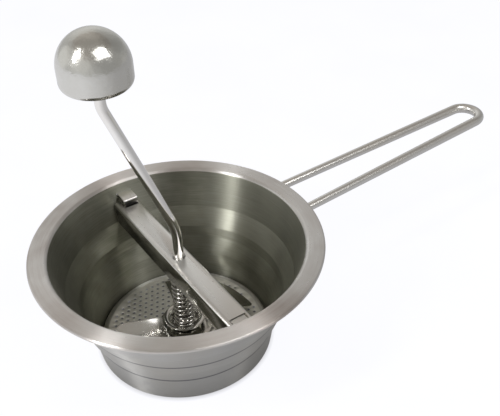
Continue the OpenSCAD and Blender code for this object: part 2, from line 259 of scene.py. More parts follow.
def new_piece(name, verts, faces, body, finish, sharp=32):
    """A smooth-shaded mesh piece from millimetre vertices."""
    mesh = bpy.data.meshes.new(name)
    mesh.from_pydata([[c * MM for c in v] for v in verts], [], faces)
    obj = bpy.data.objects.new(name, mesh)
    bpy.context.scene.collection.objects.link(obj)
    work = bmesh.new()
    work.from_mesh(mesh)
    bmesh.ops.remove_doubles(work, verts=work.verts, dist=1e-6)
    bmesh.ops.recalc_face_normals(work, faces=work.faces)
    work.to_mesh(mesh)
    work.free()
    shade(obj, sharp)
    mesh.materials.append(finish)
    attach(obj, body)
    return obj


def shade(obj, sharp):
    """Smooth shading, with edges over an angle in degrees kept sharp."""
    for face in obj.data.polygons:
        face.use_smooth = True
    obj.data.set_sharp_from_angle(angle=math.radians(sharp))


def revolve(name, outline, body, finish, centre=(0, 0), segments=192, sharp=32):
    """A closed outline (radius, height) turned about an upright axis."""
    n = len(outline)
    verts = [(centre[0] + r * math.cos(TURN * s / segments),
              centre[1] + r * math.sin(TURN * s / segments), z)
             for s in range(segments) for r, z in outline]
    faces = [(s * n + i, s * n + (i + 1) % n,
              (s + 1) % segments * n + (i + 1) % n, (s + 1) % segments * n + i)
             for s in range(segments) for i in range(n)]
    return new_piece(name, verts, faces, body, finish, sharp)


def ring(name, inner, outer, low, height, body, finish, centre=(0, 0), segments=64):
    """A washer with softened edges."""
    outline = softened([(inner, low), (outer, low), (outer, low + height),
                        (inner, low + height)], min(0.2, height / 3))
    return revolve(name, outline, body, finish, centre, segments)


def wire_end(point, inward, radius):
    """Stations from an end of a wire inwards. The radius falls by as much as the
    depth grows, which leaves a short neck just inside the end."""
    depths = [0.35 * radius * (1 - math.sin(math.pi / 8 * k)) for k in (3, 2, 1, 0)]
    return [(point + inward * depth, inward, radius - depth) for depth in depths]


def sweep(name, path, radii, sides, body, finish, sharp=32):
    """A round wire along a path."""
    path = [Vector(p) for p in path]
    first = (path[1] - path[0]).normalized()
    last = (path[-1] - path[-2]).normalized()
    stations = wire_end(path[0], first, radii[0])
    stations += [(path[i], (path[i + 1] - path[i - 1]).normalized(), radii[i])
                 for i in range(1, len(path) - 1)]
    stations += [(point, last, radius)
                 for point, _, radius in wire_end(path[-1], -last, radii[-1])[::-1]]
    side = first.orthogonal().normalized()
    verts = []
    for point, along, radius in stations:
        side = (side - along * side.dot(along)).normalized()
        across = along.cross(side)
        verts += [point + radius * (math.cos(TURN * k / sides) * side
                                    + math.sin(TURN * k / sides) * across)
                  for k in range(sides)]
    rows = len(stations)
    faces = [(i * sides + k, i * sides + (k + 1) % sides,
              (i + 1) * sides + (k + 1) % sides, (i + 1) * sides + k)
             for i in range(rows - 1) for k in range(sides)]
    faces += [tuple(range(sides))[::-1],
              tuple((rows - 1) * sides + k for k in range(sides))]
    return new_piece(name, verts, faces, body, finish, sharp)


def prism(outline, low, high, axis="Z", end=None):
    """A temporary solid: an outline drawn across an axis and pushed along it, where
    it becomes another outline, end, if one is given."""
    place = {"Z": lambda a, b, c: (a, b, c), "Y": lambda a, b, c: (a, c, b),
             "X": lambda a, b, c: (c, a, b)}[axis]
    n = len(outline)
    verts = [place(a, b, c) for c, face in ((low, outline), (high, end or outline))
             for a, b in face]
    faces = [tuple(range(n))[::-1], tuple(range(n, 2 * n))]
    faces += [(i, (i + 1) % n, n + (i + 1) % n, n + i) for i in range(n)]
    mesh = bpy.data.meshes.new("prism")
    mesh.from_pydata([[c * MM for c in v] for v in verts], [], faces)
    obj = bpy.data.objects.new("prism", mesh)
    bpy.context.scene.collection.objects.link(obj)
    work = bmesh.new()
    work.from_mesh(mesh)
    bmesh.ops.recalc_face_normals(work, faces=work.faces)
    work.to_mesh(mesh)
    work.free()
    return obj


def rectangle(x0, y0, x1, y1):
    return [(x0, y0), (x1, y0), (x1, y1), (x0, y1)]


def circle(radius, steps=96, x=0, y=0):
    return [(x + radius * math.cos(TURN * k / steps), y + radius * math.sin(TURN * k / steps))
            for k in range(steps)]


def finished(obj, name, *finishes):
    """Names a solid made from prisms and gives it its materials."""
    obj.name = name
    obj.data.materials.clear()
    for finish in finishes:
        obj.data.materials.append(finish)


def apply_modifiers(obj):
    """Leaves the mesh as its modifiers show it, with no modifier on it."""
    evaluated = obj.evaluated_get(bpy.context.evaluated_depsgraph_get())
    mesh = bpy.data.meshes.new_from_object(evaluated)
    obj.modifiers.clear()
    obj.data = mesh


def boolean(obj, tool, operation):
    """Cuts, joins or trims obj with a temporary solid, which is then removed."""
    bpy.context.view_layer.update()
    modifier = obj.modifiers.new("cut", "BOOLEAN")
    modifier.operation = operation
    modifier.solver = "EXACT"
    modifier.object = tool
    apply_modifiers(obj)
    bpy.data.objects.remove(tool)


def bevel(obj, width, sharp=40, segments=2):
    """Rounds the edges over an angle in degrees."""
    modifier = obj.modifiers.new("edge", "BEVEL")
    modifier.width = width * MM
    modifier.segments = segments
    modifier.limit_method = "ANGLE"
    modifier.angle_limit = math.radians(sharp)
    apply_modifiers(obj)


# --------------------------------------------------------------- materials

class Nodes:
    """Small helper that adds and links shader nodes."""

    def __init__(self, name):
        self.material = bpy.data.materials.new(name)
        self.material.use_nodes = True
        self.tree = self.material.node_tree
        self.tree.nodes.clear()

    def add(self, kind, inputs=(), **settings):
        node = self.tree.nodes.new("ShaderNode" + kind)
        for key, value in settings.items():
            setattr(node, key, value)
        for key, value in dict(inputs).items():
            if isinstance(value, bpy.types.NodeSocket):
                self.tree.links.new(value, node.inputs[key])
            else:
                node.inputs[key].default_value = value
        return node

    def math(self, operation, a, b=0.0):
        return self.add("Math", {0: a, 1: b}, operation=operation).outputs[0]

    def noise(self, vector, scale, detail=4.0, roughness=0.6):
        return self.add("TexNoise", {"Vector": vector, "Scale": scale, "Detail": detail,
                                     "Roughness": roughness}).outputs["Fac"]

    def remap(self, value, low, high, start=0.0, end=1.0):
        return self.add("MapRange", {"Value": value, "From Min": low, "From Max": high,
                                     "To Min": start, "To Max": end}).outputs[0]


def mix_colour(nodes, factor, a, b):
    """A mix of two colours, by socket position since Mix has one set per type."""
    node = nodes.tree.nodes.new("ShaderNodeMix")
    node.data_type = "RGBA"
    nodes.tree.links.new(factor, node.inputs[0])
    for place, value in ((6, a), (7, b)):
        if isinstance(value, bpy.types.NodeSocket):
            nodes.tree.links.new(value, node.inputs[place])
        else:
            node.inputs[place].default_value = value
    return node.outputs[2]


def grain_coordinates(nodes, grain):
    """Coordinates stretched along the grain: around the shaft, or along an axis."""
    place = nodes.add("TexCoord").outputs["Object"]
    if grain == "spun":
        xyz = nodes.add("SeparateXYZ", {0: place})
        x, y, z = xyz.outputs
        radius = nodes.math("SQRT", nodes.math("ADD", nodes.math("MULTIPLY", x, x),
                                               nodes.math("MULTIPLY", y, y)))
        angle = nodes.math("ARCTAN2", y, x)
        around = nodes.math("MULTIPLY", nodes.math("SINE", angle), 0.004)
        along = nodes.math("MULTIPLY", nodes.math("COSINE", angle), 0.004)
        # the radius and the height cross the grain, so both set its lines
        across = nodes.math("ADD", radius, nodes.math("MULTIPLY", z, 0.83))
        return place, nodes.add("CombineXYZ", {0: across, 1: around, 2: along}).outputs[0]
    scale = {"x": (0.02, 1, 1), "y": (1, 0.02, 1), "none": (1, 1, 1)}
    stretched = nodes.add("Mapping", {"Vector": place, "Scale": scale[grain]})
    return place, stretched.outputs[0]


def steel(name, colour, roughness, spread, grain="none", grain_size=1400.0, grain_depth=0.12,
          smudge=0.05, tint=(0.90, 0.87, 0.82), dents=0.0, drawn=0.0, creases=()):
    """Stainless steel with grain, uneven polish, faint smudges and fine scratches.
    tint colours the smudges, dents is the depth of soft dimples, drawn stretches the
    highlights across the grain, and creases are the heights of narrow lines of painted shade."""
    n = Nodes(name)
    place, stretched = grain_coordinates(n, grain)
    lines = n.noise(stretched, grain_size, 3.0, 0.7)
    wide = n.noise(place, 16.0, 3.0, 0.55)
    fine = n.noise(place, 240.0, 4.0, 0.6)
    scratch = n.add("Mapping", {"Vector": place, "Rotation": (0.5, 0.3, 0.9),
                                "Scale": (0.05, 1, 1)}).outputs[0]
    scratches = n.remap(n.noise(scratch, 2600.0, 2.0, 0.5), 0.66, 0.78)
    smudges = n.remap(wide, 0.42, 0.68)
    rough = n.math("ADD", n.remap(lines, 0.3, 0.7, roughness - spread, roughness + spread),
                   n.math("MULTIPLY", smudges, smudge))
    rough = n.math("ADD", rough, n.math("MULTIPLY", scratches, 0.06))
    rough = n.math("ADD", rough, n.remap(fine, 0.35, 0.65, -0.012, 0.018))
    dull = tuple(c * t for c, t in zip(colour, tint)) + (1,)
    shade_of = n.math("ADD", n.math("MULTIPLY", smudges, 0.55),
                      n.remap(lines, 0.3, 0.7, 0.0, 0.25))
    base = mix_colour(n, shade_of, colour + (1,), dull)
    # painted shade, with a little dirt, in the narrow corners under the ledges
    height_here = n.add("SeparateXYZ", {0: place}).outputs[2]
    for level in creases:
        away = n.math("SUBTRACT", height_here, level * MM)
        dark = n.remap(n.math("MULTIPLY", away, away), 0.0, (1.3 * MM) ** 2, 0.75, 0.0)
        base = mix_colour(n, dark, base, (0.10, 0.10, 0.12, 1))
    height = n.math("ADD", lines, n.math("MULTIPLY", scratches, -0.25))
    bump = n.add("Bump", {"Height": height, "Strength": grain_depth, "Distance": 0.00008})
    normal = bump.outputs[0]
    if dents:
        soft = n.add("Bump", {"Height": n.noise(place, 60.0, 4.0, 0.6), "Strength": 1.0,
                              "Distance": dents, "Normal": normal})
        normal = soft.outputs[0]
    shader = n.add("BsdfPrincipled", {"Base Color": base, "Metallic": 1.0,
                                      "Roughness": rough, "Normal": normal})
    if drawn:
        shader.inputs["Anisotropic"].default_value = drawn
        tangent = n.add("Tangent", direction_type="RADIAL", axis="Z")
        n.tree.links.new(tangent.outputs[0], shader.inputs["Tangent"])
        shader.inputs["Anisotropic Rotation"].default_value = 0.25
    out = n.add("OutputMaterial")
    n.tree.links.new(shader.outputs[0], out.inputs[0])
    return n.material


def nylon(name):
    """Black plastic with a fine grain."""
    n = Nodes(name)
    place = n.add("TexCoord").outputs["Object"]
    grain = n.noise(place, 900.0, 3.0, 0.6)
    bump = n.add("Bump", {"Height": grain, "Strength": 0.2, "Distance": 0.0001})
    shader = n.add("BsdfPrincipled", {"Base Color": (0.03, 0.03, 0.033, 1),
                                      "Roughness": n.remap(grain, 0.3, 0.7, 0.42, 0.55),
                                      "Normal": bump.outputs[0]})
    out = n.add("OutputMaterial")
    n.tree.links.new(shader.outputs[0], out.inputs[0])
    return n.material


def paper(name, colour, seen, felt):
    """Studio paper: it shows as pale as in a white tent, and lights the steel softly.
    It glows with the strength seen to the camera and felt to everything else."""
    n = Nodes(name)
    place = n.add("TexCoord").outputs["Object"]
    tone = n.remap(n.noise(place, 9.0, 3.0, 0.5), 0.3, 0.7, 0.985, 1.0)
    xyz = n.add("SeparateXYZ", {0: place}).outputs
    radius = n.math("SQRT", n.math("ADD", n.math("MULTIPLY", xyz[0], xyz[0]),
                                   n.math("MULTIPLY", xyz[1], xyz[1])))
    # painted shadow: the paper glows less under and near the bowl, where hardly any light
    # reaches
    bright = n.remap(radius, (LEDGE_RADIUS - 2) * MM, (FOOT_RADIUS + 3) * MM,
                     0.06 * seen, seen)
    soft = n.remap(radius, LEDGE_RADIUS * MM, 1.5 * RIM_RADIUS * MM, 0.2 * felt, felt)
    # painted light: the tent's light falls from the left, so the paper glows brighter there
    leftward = n.math("ADD", n.math("MULTIPLY", xyz[0], -0.96),
                      n.math("MULTIPLY", xyz[1], 0.28))
    soft = n.math("MULTIPLY", soft, n.remap(n.math("DIVIDE", leftward, radius),
                                            -0.8, 0.8, 0.72, 1.45))
    direct = n.add("LightPath").outputs["Is Camera Ray"]
    glow = n.math("ADD", n.math("MULTIPLY", direct, bright),
                  n.math("MULTIPLY", n.math("SUBTRACT", 1.0, direct), soft))
    glow = n.math("MULTIPLY", tone, glow)
    node = n.add("BsdfPrincipled", {"Base Color": (0.10, 0.10, 0.10, 1), "Roughness": 0.9,
                                    "Emission Color": colour + (1,),
                                    "Emission Strength": glow})
    node.inputs["Specular IOR Level"].default_value = 0.0
    out = n.add("OutputMaterial")
    n.tree.links.new(node.outputs[0], out.inputs[0])
    return n.material


# painted shade: narrow dark lines at the creases under two of the ledges
BOWL_STEEL = steel("bowl_steel", (0.58, 0.575, 0.56), 0.33, 0.04, "spun", 1500.0, 0.04, 0.05,
                   drawn=1.0, creases=(STEPS[0][1] + 0.2, STEPS[2][1] + 0.4))
# painted light: the rim's brighter copy of the steel; its smudges' brown is a painted
# reflection
LIT_RIM_STEEL = steel("bowl_rim_painted_light_steel", (0.71, 0.70, 0.685), 0.30, 0.04, "spun", 900.0, 0.005, 0.10,
                  tint=(0.74, 0.66, 0.62), drawn=1.0)
# painted shade: the inside's darker copy of the steel, tinted olive as a painted reflection
SHADED_INSIDE_STEEL = steel("bowl_inside_painted_shade_steel", (0.37, 0.37, 0.315), 0.32, 0.03, "spun", 900.0,
                     0.004, 0.06, tint=(0.30, 0.30, 0.26), drawn=1.0)
DISC_STEEL = steel("disc_steel", (0.76, 0.755, 0.72), 0.46, 0.05, "x", 900.0, 0.05, 0.06)
KNOB_STEEL = steel("knob_steel", (0.60, 0.595, 0.565), 0.20, 0.02, "none", 300.0, 0.02, 0.04,
                   dents=0.0007)
HANDLE_STEEL = steel("handle_steel", (0.72, 0.71, 0.69), 0.27, 0.03, "x", 1300.0, 0.01, 0.06)
BRIDGE_STEEL = steel("bridge_steel", (0.66, 0.65, 0.63), 0.30, 0.04, "y", 1300.0, 0.035, 0.06)
FLANGE_STEEL = steel("bridge_flange_steel", (0.56, 0.555, 0.52), 0.11, 0.02, "y", 1300.0,
                     0.01, 0.05)
POLISHED = steel("polished_steel", (0.82, 0.81, 0.79), 0.045, 0.01, "none", 600.0, 0.01, 0.03)
BLADE_STEEL = steel("blade_steel", (0.60, 0.595, 0.57), 0.15, 0.01, "none", 500.0, 0.01, 0.04)
SPRING_STEEL = steel("spring_wire_steel", (0.52, 0.51, 0.49), 0.16, 0.03, "none", 700.0,
                     0.02, 0.05)
FITTING_STEEL = steel("fitting_steel", (0.45, 0.45, 0.44), 0.25, 0.05, "none", 900.0,
                      0.06, 0.05)
NYLON = nylon("black_nylon")


# -------------------------------------------------------------- sub-parts

def bowl_outline():
    """Half section of the bowl: outside, rolled edge, inside."""
    path = [(LEDGE_RADIUS, 0), (FOOT_RADIUS, 0), *STEPS, (LIP_RADIUS, WALL_TOP),
            (RIM_RADIUS - BEAD_RADIUS, WALL_TOP)]
    bends = [FOOT_BEND, LEDGE_BEND, LEDGE_BEND, LEDGE_BEND, LEDGE_BEND, LIP_BEND]
    outside = bent(path, bends, 0, 10)
    inside = bent(moved(path, BOWL_SHEET), bends, BOWL_SHEET, 10)[::-1]
    # the rolled edge: from the underside of the rim round to its top
    centre = (RIM_RADIUS - BEAD_RADIUS, BOWL_HEIGHT - BEAD_RADIUS)
    start, end = math.radians(-200), math.radians(90)
    steps = 20
    bead = [(centre[0] + BEAD_RADIUS * math.cos(start + (end - start) * k / steps),
             centre[1] + BEAD_RADIUS * math.sin(start + (end - start) * k / steps))
            for k in range(steps + 1)]
    return softened(outside[:-1] + bead + inside[1:], 0.2)


def build_bowl():
    """The turned shell with its two slots; painted shade inside and painted light on the rim.
    """
    bowl = revolve("bowl_shell", bowl_outline(), "bowl", BOWL_STEEL,
                   segments=288)
    top_a = BRIDGE_TOP + TONGUE_A_RISE
    top_b = BRIDGE_TOP - BRIDGE_SHEET
    for xs, top, near, far in ((TONGUE_A, top_a, INSIDE_WALL, PAST_WALL),
                               (TONGUE_B, top_b, -PAST_WALL, -INSIDE_WALL)):
        hole = rounded(rectangle(xs[0] - SLOT_GAP, top - BRIDGE_SHEET - SLOT_GAP,
                                 xs[1] + SLOT_GAP, top + SLOT_GAP), [SLOT_CORNER] * 4, 4)
        boolean(bowl, prism(hole, near, far, "Y"), "DIFFERENCE")
    shade(bowl, 32)
    # painted shade darkens the inside, from the lip down; painted light brightens the rim
    bowl.data.materials.append(SHADED_INSIDE_STEEL)
    bowl.data.materials.append(LIT_RIM_STEEL)
    for face in bowl.data.polygons:
        x, y, z = face.center
        inward = face.normal.x * x + face.normal.y * y < -0.15 * math.hypot(x, y)
        if inward and BOWL_SHEET * MM < z < (WALL_TOP - 1) * MM:
            face.material_index = 1
        elif z > (WALL_TOP - 1) * MM and face.normal.z > -0.2:
            face.material_index = 2
    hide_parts("bowl")


def hole_centres():
    """Holes in staggered rows, none in the middle or near the edge."""
    rows = math.ceil(PERFORATED_RADIUS / HOLE_PITCH) + 2
    centres = []
    for row in range(-rows, rows + 1):
        for column in range(-rows, rows + 1):
            x = (column + (0.5 if row % 2 else 0)) * HOLE_PITCH
            y = row * HOLE_PITCH * math.sqrt(3) / 2
            if BLANK_RADIUS < math.hypot(x, y) < PERFORATED_RADIUS:
                centres.append((x, y))
    return centres


def build_disc():
    """The perforated plate has a small rounded edge on every hole."""
    sides, rim_sides = 20, 192
    loops = [circle(DISC_PLATE_RADIUS, rim_sides)]
    centres = hole_centres()
    for cx, cy in centres:
        loops.append(circle(HOLE_RADIUS + HOLE_EDGE, sides, cx, cy)[::-1])
    points, edges, start = [], [], 0
    for loop in loops:
        points += [Vector(p) for p in loop]
        edges += [(start + k, start + (k + 1) % len(loop)) for k in range(len(loop))]
        start += len(loop)
    flat, _, triangles, _, _, _ = delaunay_2d_cdt(points, edges, [], 0, 1e-5)
    holes = {(round(cx, 2), round(cy, 2)) for cx, cy in centres}

    def in_hole(triangle):
        x = sum(flat[i].x for i in triangle) / 3
        y = sum(flat[i].y for i in triangle) / 3
        if math.hypot(x, y) > DISC_PLATE_RADIUS:
            return True
        row = round(y / (HOLE_PITCH * math.sqrt(3) / 2))
        shift = 0.5 if row % 2 else 0
        column = round(x / HOLE_PITCH - shift)
        cx, cy = (column + shift) * HOLE_PITCH, row * HOLE_PITCH * math.sqrt(3) / 2
        inside = math.hypot(x - cx, y - cy) < HOLE_RADIUS + HOLE_EDGE * 0.99
        return inside and (round(cx, 2), round(cy, 2)) in holes

    kept = [t for t in triangles if not in_hole(t)]
    bottom = DISC_TOP - DISC_SHEET
    verts, faces = [], []
    for z, flip in ((DISC_TOP, False), (bottom, True)):
        base = len(verts)
        verts += [(p.x, p.y, z) for p in flat]
        faces += [tuple(base + i for i in (t[::-1] if flip else t)) for t in kept]
    depths = [(DISC_TOP, HOLE_EDGE), (DISC_TOP - 0.3 * HOLE_EDGE, 0.3 * HOLE_EDGE),
              (DISC_TOP - HOLE_EDGE, 0), (bottom + 0.05, 0), (bottom, HOLE_EDGE)]
    for cx, cy in centres:
        base = len(verts)
        for z, wider in depths:
            verts += [(x, y, z) for x, y in circle(HOLE_RADIUS + wider, sides, cx, cy)]
        faces += [(base + d * sides + k, base + (d + 1) * sides + k,
                   base + (d + 1) * sides + (k + 1) % sides,
                   base + d * sides + (k + 1) % sides)
                  for d in range(len(depths) - 1) for k in range(sides)]
    plate = new_piece("disc_plate", verts, faces, "bowl", DISC_STEEL, 40)
    edge_path = [(DISC_RADIUS, DISC_EDGE_LOW), (DISC_RADIUS, DISC_TOP),
                 (DISC_PLATE_RADIUS, DISC_TOP)]
    outline = sheet_outline(edge_path, [DISC_EDGE_BEND], DISC_SHEET)
    revolve("disc_edge", outline, "bowl", BOWL_STEEL, segments=192)
    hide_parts("disc")


def handle_path():
    """Points and radii along the wire: wall, side, loop, side, wall."""
    length = HANDLE_REACH - HANDLE_START - HANDLE_END_HALF_GAP - HANDLE_END_WIRE / 2
    diagonal = math.hypot(length, HANDLE_START_HALF_GAP)
    taper = (math.atan(HANDLE_START_HALF_GAP / length)
             - math.asin(HANDLE_END_HALF_GAP / diagonal))
    touch = Vector((length + HANDLE_END_HALF_GAP * math.sin(taper),
                    HANDLE_END_HALF_GAP * math.cos(taper)))
    start = Vector((0, HANDLE_START_HALF_GAP))
    side = []
    steps = 40
    for k in range(steps):
        t = k / steps
        radius = HANDLE_WIRE / 2 + (HANDLE_END_WIRE - HANDLE_WIRE) / 2 * t
        side.append((start.lerp(touch, t), radius))
    loop = []
    arc_steps = 36
    for k in range(arc_steps + 1):
        a = (math.pi / 2 - taper) * (1 - 2 * k / arc_steps)
        loop.append((Vector((length + HANDLE_END_HALF_GAP * math.cos(a),
                             HANDLE_END_HALF_GAP * math.sin(a))), HANDLE_END_WIRE / 2))
    back = [(Vector((p.x, -p.y)), r) for p, r in side[::-1]]
    turn = Matrix.Rotation(-HANDLE_SLOPE, 4, "Y")
    origin = Vector((HANDLE_START, 0, HANDLE_START_HEIGHT))
    points = [origin + turn @ Vector((p.x, p.y, 0)) for p, _ in side + loop + back]
    return points, [r for _, r in side + loop + back]


def build_handle():
    """The bent wire and the weld at each of its feet."""
    points, radii = handle_path()
    handle = sweep("handle_wire", points, radii, 40, "bowl", HANDLE_STEEL)
    # the wire ends at the wall: a cone that fills the wall cuts off the rest
    bottom, top = STEPS[3][1], WALL_TOP + 2
    slope = (LIP_RADIUS - STEPS[3][0]) / (WALL_TOP - STEPS[3][1])
    low_radius = STEPS[3][0] - 0.2
    high_radius = low_radius + slope * (top - bottom)
    wall = prism(circle(low_radius), bottom, top, end=circle(high_radius))
    boolean(handle, wall, "DIFFERENCE")
    shade(handle, 32)
    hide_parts("handle_loop")
    # weld metal around the foot of each side
    slope_angle = math.atan(slope)
    for side in (1, -1):
        y = side * (HANDLE_START_HALF_GAP - 0.05)
        height = HANDLE_START_HEIGHT + 0.15
        radius = STEPS[3][0] + slope * (height - STEPS[3][1])
        x = math.sqrt(radius ** 2 - y ** 2)
        weld_ring(f"handle_weld_{'left' if side > 0 else 'right'}", (x, y, height),
                  math.atan2(y, x), slope_angle)


def weld_ring(name, at, direction, slope_angle):
    """An uneven bead of weld where a wire meets the wall."""
    around, across = 48, 14
    big, small = HANDLE_WIRE / 2 + 0.1, WELD_RADIUS
    frame_x = Vector((math.cos(direction) * math.cos(slope_angle),
                      math.sin(direction) * math.cos(slope_angle), -math.sin(slope_angle)))
    frame_y = Vector((-math.sin(direction), math.cos(direction), 0))
    frame_z = frame_x.cross(frame_y)
    verts = []
    for i in range(around):
        a = TURN * i / around
        wobble = 1 + 0.10 * math.sin(7 * a) + 0.06 * math.sin(11 * a + 1)
        for k in range(across):
            b = TURN * k / across
            r = big + small * wobble * math.cos(b)
            stretch = 1 / max(0.5, math.cos(direction))
            verts.append(Vector(at) + frame_x * small * wobble * math.sin(b)
                         + frame_y * r * math.cos(a) * stretch + frame_z * r * math.sin(a))
    faces = [(i * across + k, i * across + (k + 1) % across,
              (i + 1) % around * across + (k + 1) % across,
              (i + 1) % around * across + k) for i in range(around) for k in range(across)]
    new_piece(name, verts, faces, "bowl", HANDLE_STEEL, 60)


def build_bridge():
    """The channel and its two tongues; their sides are smoother than the top."""
    low = BRIDGE_TOP - BRIDGE_DEPTH
    path = [(BRIDGE_HALF, low - 1), (BRIDGE_HALF, BRIDGE_TOP),
            (-BRIDGE_HALF, BRIDGE_TOP), (-BRIDGE_HALF, low - 1)]
    section = sheet_outline(path, [BRIDGE_BEND, BRIDGE_BEND], BRIDGE_SHEET)
    bar = prism(section, END_B - 5, END_A + 5, "Y")
    outline = rounded([(END_B, BRIDGE_TOP + 1), (END_B_LOW, low), (END_A_LOW, low),
                       (END_A, BRIDGE_TOP + 1)], [0, 2, 2, 0])
    boolean(bar, prism(outline, -BRIDGE_HALF - 1, BRIDGE_HALF + 1, "X"), "INTERSECT")
    for xs, near, far in ((SLIT_A, TONGUE_A_ROOT, PAST_WALL),
                          (SLIT_B, -PAST_WALL, TONGUE_B_ROOT)):
        boolean(bar, prism(rectangle(xs[0], near, xs[1], far), BRIDGE_TOP - 4,
                           BRIDGE_TOP + 1), "DIFFERENCE")
    boolean(bar, prism(circle(BUSH_RADIUS), BRIDGE_TOP - 5, BRIDGE_TOP + 5), "DIFFERENCE")
    sheet = BRIDGE_SHEET
    raised = BRIDGE_TOP + TONGUE_A_RISE
    lowered = BRIDGE_TOP - sheet
    steps_a = [(TONGUE_A_ROOT - sheet - 2, lowered), (TONGUE_A_ROOT, lowered),
               (TONGUE_A_ROOT, raised - sheet), (TONGUE_A_TIP, raised - sheet)]
    outline_a = sheet_outline(steps_a, [TONGUE_BEND, TONGUE_BEND], sheet, 5)
    root_b = TONGUE_B_ROOT + 2 * sheet
    outline_b = [(TONGUE_B_TIP, lowered - sheet), (root_b, lowered - sheet),
                 (root_b, BRIDGE_TOP - HAIR), (TONGUE_B_ROOT, BRIDGE_TOP - HAIR),
                 (TONGUE_B_ROOT, lowered), (TONGUE_B_TIP, lowered)]
    pieces = [bar]
    corners = [TONGUE_CORNER, TONGUE_CORNER]
    for outline, xs, tip in ((outline_a, TONGUE_A, TONGUE_A_TIP),
                             (outline_b, TONGUE_B, TONGUE_B_TIP)):
        tongue = prism(outline, xs[0], xs[1], "X")
        plan = rounded(rectangle(xs[0], min(tip, tip * 0.8), xs[1], max(tip, tip * 0.8)),
                       [0, 0] + corners if tip > 0 else corners + [0, 0], 6)
        boolean(tongue, prism(plan, *TONGUE_CUT), "INTERSECT")
        pieces.append(tongue)
    names = ("bridge_channel", "bridge_tongue_a", "bridge_tongue_b")
    for obj, name in zip(pieces, names):
        bevel(obj, 0.22)
        shade(obj, 30)
        finished(obj, name, BRIDGE_STEEL, FLANGE_STEEL)
        for face in obj.data.polygons:
            if abs(face.normal.x) > 0.8:
                face.material_index = 1
        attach(obj, "bridge")
    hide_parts("bridge_bar")


def build_bridge_fittings():
    """The rod's bush, its flange under the bridge, and the washer under that."""
    bore = ROD_RADIUS + RUNNING_GAP
    under = BRIDGE_TOP - BRIDGE_SHEET
    bush = [(bore, BUSH_LOW), (BUSH_RADIUS, BUSH_LOW), (BUSH_RADIUS, BUSH_FLANGE_LOW),
            (BUSH_FLANGE_RADIUS, BUSH_FLANGE_LOW), (BUSH_FLANGE_RADIUS, under),
            (BUSH_RADIUS, under), (BUSH_RADIUS, BRIDGE_TOP),
            (BUSH_RADIUS - 0.4, BRIDGE_TOP), (bore, BRIDGE_TOP - 0.7)]
    bush = revolve("bridge_bush", softened(bush, 0.1), "bridge", FITTING_STEEL,
                   segments=96)
    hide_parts("bar_bush")
    washer = ring("spring_top_washer", BUSH_RADIUS + RUNNING_GAP, SPRING_WASHER_RADIUS,
                  SPRING_HIGH, WASHER_SHEET, "bridge", FITTING_STEEL)
    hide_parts("spring_washer")


def build_spring():
    """Coil with closed ends."""
    per_turn, sides = 48, 16
    closed = SPRING_CLOSED_TURNS
    low, high = SPRING_LOW + SPRING_WIRE / 2, SPRING_HIGH - SPRING_WIRE / 2
    climb = high - low - 2 * closed * SPRING_WIRE

    def height(turns):
        if turns < closed:
            return low + turns * SPRING_WIRE
        if turns > SPRING_TURNS - closed:
            return high - (SPRING_TURNS - turns) * SPRING_WIRE
        return (low + closed * SPRING_WIRE
                + climb * (turns - closed) / (SPRING_TURNS - 2 * closed))

    points = []
    for i in range(round(SPRING_TURNS * per_turn) + 1):
        turns = i / per_turn
        points.append((SPRING_RADIUS * math.cos(TURN * turns),
                       SPRING_RADIUS * math.sin(TURN * turns), height(turns)))
    spring = sweep("spring_coil", points, [SPRING_WIRE / 2] * len(points), sides, "seat",
                   SPRING_STEEL)
    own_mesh(spring)
    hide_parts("spring")


def build_shaft_stack():
    """The dish under the spring, the washer under it and the nut under the blade."""
    cup_path = [(ROD_RADIUS + RUNNING_GAP, CUP_LOW), (CUP_FLOOR_RADIUS, CUP_LOW),
                (CUP_RIM_INNER, CUP_TOP), (CUP_RIM_OUTER, CUP_TOP)]
    cup = revolve("spring_dish", softened(sheet_outline(cup_path, CUP_BENDS, CUP_SHEET), 0.35),
                  "seat", BLADE_STEEL, segments=144)
    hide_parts("spring_cup")
    washer = ring("thrust_ring", ROD_RADIUS + HAIR, THRUST_WASHER_RADIUS,
                  BLADE_SEAT + BLADE_SHEET, WASHER_SHEET, "crank",
                  FITTING_STEEL)
    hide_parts("thrust_washer")
    nut = prism(circle(NUT_RADIUS, 6), FOOT_LOW, BLADE_SEAT - HAIR)
    boolean(nut, prism(circle(THREAD_RADIUS + HAIR, 48), 0, 20), "DIFFERENCE")
    bevel(nut, 0.25, 50)
    shade(nut, 30)
    finished(nut, "foot_nut_body", FITTING_STEEL)
    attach(nut, "crank")
    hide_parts("foot_nut")


def wing_plan():
    """A wing seen from above: raised edge along +X, trailing edge at WING_SWEEP."""
    return rounded([(0, 0), (WING_ROOT / 2, WING_EDGE), (BLADE_RADIUS - 1, WING_EDGE),
                    (WING_PAST, WING_FLAT), (WING_PAST, WING_PAST),
                    (WING_PAST / math.tan(WING_SWEEP), WING_PAST)],
                   [0, 0, WING_CORNER, 0, 0, 0], 10)


def wing_profile():
    """The sheet seen from the side: rolled up to the edge, flat on the disc."""
    steps = 28
    ys = [WING_EDGE - 1 + (WING_FLAT - WING_EDGE + 1) * k / steps for k in range(steps + 1)]
    centre = FOOT_LOW + BLADE_SHEET + WING_ROLL

    def side(radius, end):
        return [(y, centre - math.sqrt(radius ** 2 - (WING_FLAT - y) ** 2))
                for y in ys] + [(BLADE_RADIUS + 1, end)]

    return (side(WING_ROLL + BLADE_SHEET, FOOT_LOW)
            + side(WING_ROLL, FOOT_LOW + BLADE_SHEET)[::-1])


